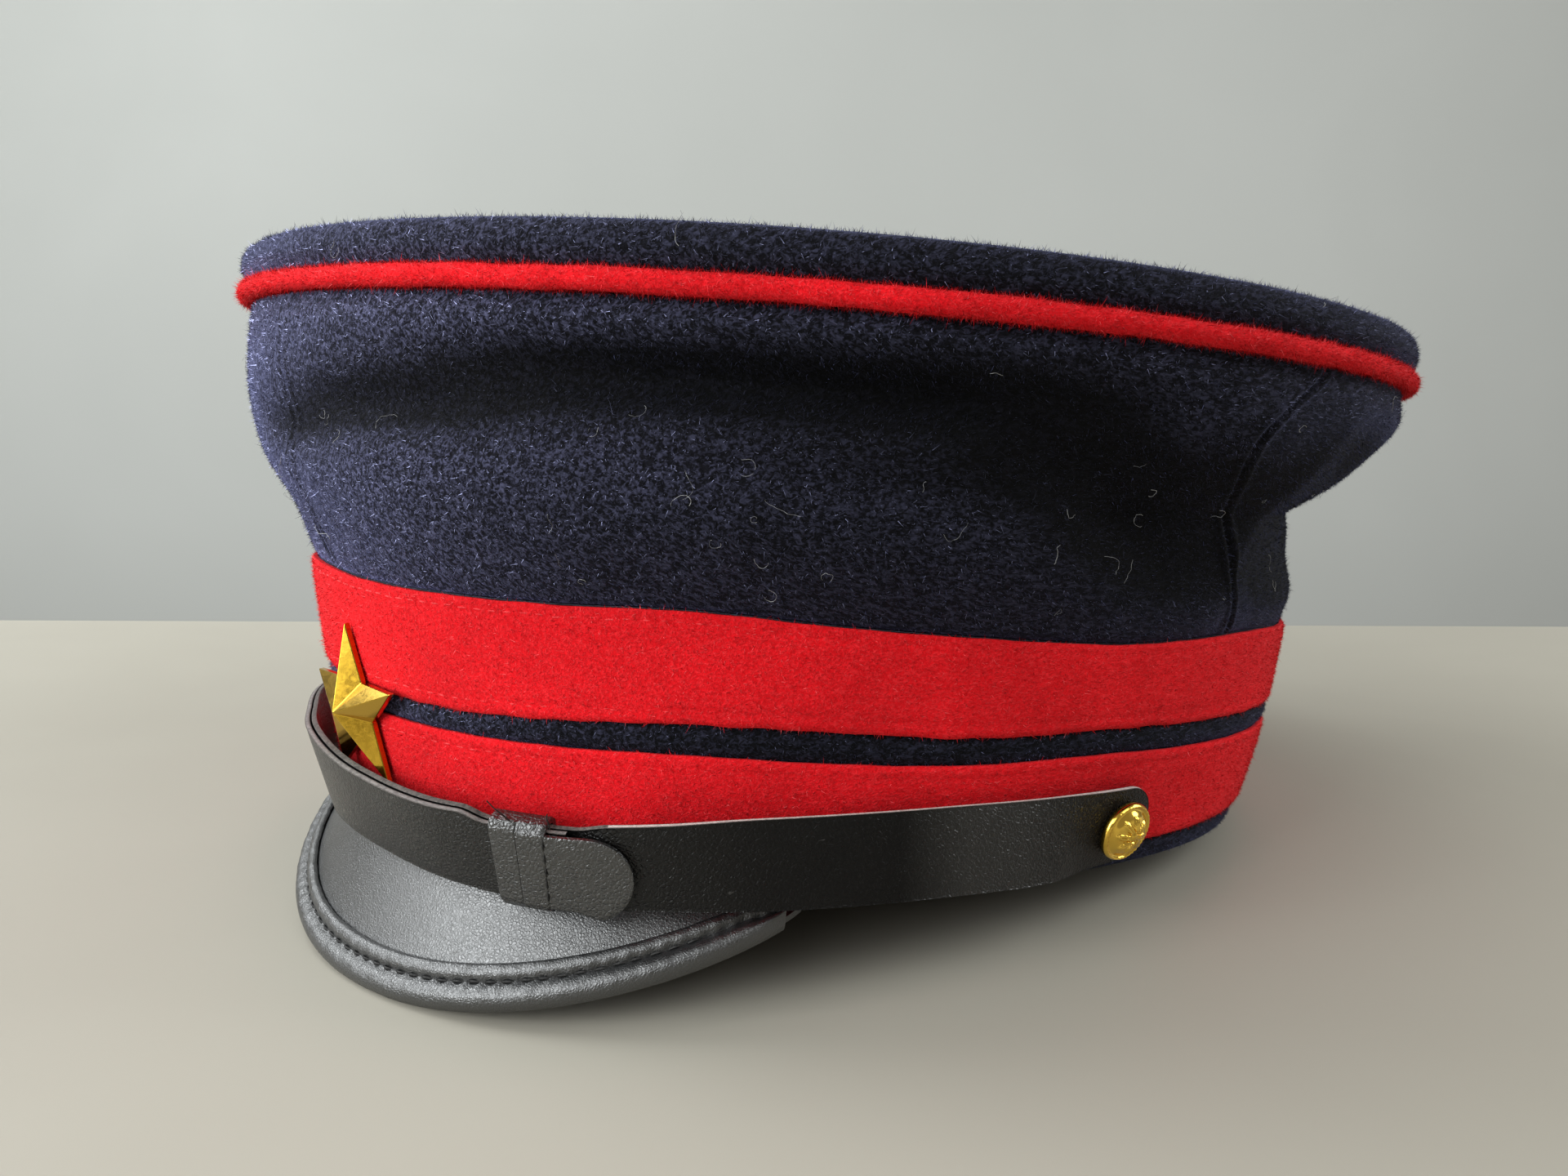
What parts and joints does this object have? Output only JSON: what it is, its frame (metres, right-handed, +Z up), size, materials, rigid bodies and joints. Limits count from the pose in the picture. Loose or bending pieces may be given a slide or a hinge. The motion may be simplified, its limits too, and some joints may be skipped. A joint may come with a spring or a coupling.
{
  "type": "military peaked cap",
  "caption": "Navy wool military peaked cap with red piping and bands, a star, a steep black leather peak and a chin strap held by gilt buttons.",
  "frame": {"origin": "centre of the bounding box's bottom, on the surface that the cap stands on", "axes": "+Z up, -Y towards the peak, +X towards the wearer's left"},
  "size_m": [0.2396, 0.2454, 0.1225],
  "materials": {
    "crown_top": "navy wool with a short raised nap",
    "crown_side": "navy wool with a short raised nap",
    "crown_piping": "red wool, slightly fuzzy",
    "band": "navy wool with a short raised nap",
    "red_band_upper": "red wool felt",
    "red_band_lower": "red wool felt",
    "peak": "satin black with a fine grain",
    "peak_binding": "satin black with a fine grain",
    "strap_outer": "satin black with a fine grain",
    "strap_inner": "satin black with a fine grain",
    "keeper_left": "satin black with a fine grain",
    "keeper_right": "satin black with a fine grain",
    "button_left": "polished gilt",
    "button_right": "polished gilt",
    "star": "polished gilt"
  },
  "bodies": {
    "root": {"crown_top": "crown_top", "crown_side": "crown_side", "crown_piping": "crown_piping", "band": "band", "red_band_upper": "red_band_upper", "red_band_lower": "red_band_lower", "peak": "peak", "peak_binding": "peak_binding", "strap_outer": "strap_outer", "strap_inner": "strap_inner", "keeper_left": "keeper_left", "keeper_right": "keeper_right", "button_left": "button_left", "button_right": "button_right", "star": "star"}
  },
  "joints": []
}
